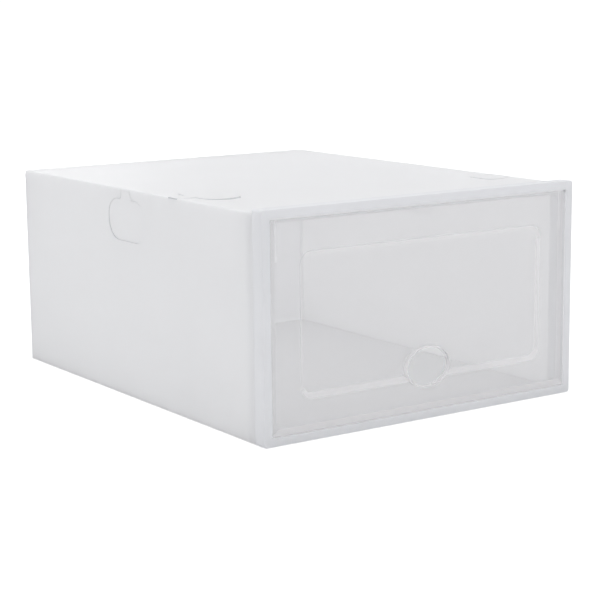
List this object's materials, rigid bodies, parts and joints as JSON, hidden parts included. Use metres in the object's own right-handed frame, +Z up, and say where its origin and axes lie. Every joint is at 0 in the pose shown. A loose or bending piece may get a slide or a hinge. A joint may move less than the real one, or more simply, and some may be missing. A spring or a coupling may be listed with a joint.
{
  "type": "shoe box",
  "caption": "Stacking box of folded milky plastic sheet with a moulded front frame, a clear lift-up door with an oval finger hole, and keyhole link tabs.",
  "frame": {"origin": "centre of the footprint, on the surface that the box stands on", "axes": "+Z up, front door towards -Y, +X to the right seen from the front"},
  "size_m": [0.23, 0.297, 0.134],
  "materials": {
    "milky_sheet": "satin milky polypropylene sheet, slightly translucent",
    "moulded_frame": "satin bluish-white moulded polypropylene, slightly translucent",
    "clear_door": "clear, slightly hazy gloss moulding"
  },
  "bodies": {
    "carcass": {"front_frame": "moulded_frame", "bottom_panel": "milky_sheet", "top_panel": "milky_sheet", "left_wall": "milky_sheet", "right_wall": "milky_sheet", "seam_flap": "milky_sheet"},
    "door": {"door": "clear_door"},
    "left_wall_tab": {"left_wall_tab": "milky_sheet"},
    "right_wall_tab": {"right_wall_tab": "milky_sheet"},
    "top_left_tab": {"top_left_tab": "milky_sheet"},
    "top_right_tab": {"top_right_tab": "milky_sheet"},
    "back_panel": {"back_panel": "milky_sheet", "tuck_lip": "milky_sheet"},
    "left_dust_flap": {"left_dust_flap": "milky_sheet"},
    "right_dust_flap": {"right_dust_flap": "milky_sheet"}
  },
  "joints": [
    {"name": "door_hinge", "type": "hinge", "parent": "carcass", "child": "door", "pos_m": [0, -0.1471, 0.1273], "axis": [-1, 0, 0], "range_deg": [0, 110]},
    {"name": "left_wall_tab_crease", "type": "hinge", "parent": "carcass", "child": "left_wall_tab", "pos_m": [-0.1144, 0.0065, 0.13095], "axis": [0, 1, 0], "range_deg": [0, 90]},
    {"name": "right_wall_tab_crease", "type": "hinge", "parent": "carcass", "child": "right_wall_tab", "pos_m": [0.1144, 0.0065, 0.13095], "axis": [0, -1, 0], "range_deg": [0, 90]},
    {"name": "top_left_tab_crease", "type": "hinge", "parent": "carcass", "child": "top_left_tab", "pos_m": [-0.1144, -0.0515, 0.1318], "axis": [0, -1, 0], "range_deg": [0, 90]},
    {"name": "top_right_tab_crease", "type": "hinge", "parent": "carcass", "child": "top_right_tab", "pos_m": [0.1144, -0.084, 0.1318], "axis": [0, 1, 0], "range_deg": [0, 90]},
    {"name": "back_panel_crease", "type": "hinge", "parent": "carcass", "child": "back_panel", "pos_m": [0, 0.1485, 0], "axis": [-1, 0, 0], "range_deg": [0, 90]},
    {"name": "left_dust_flap_crease", "type": "hinge", "parent": "carcass", "child": "left_dust_flap", "pos_m": [-0.11355, 0.1468, 0.065], "axis": [0, 0, -1], "range_deg": [0, 85]},
    {"name": "right_dust_flap_crease", "type": "hinge", "parent": "carcass", "child": "right_dust_flap", "pos_m": [0.11355, 0.1468, 0.065], "axis": [0, 0, 1], "range_deg": [0, 85]}
  ]
}
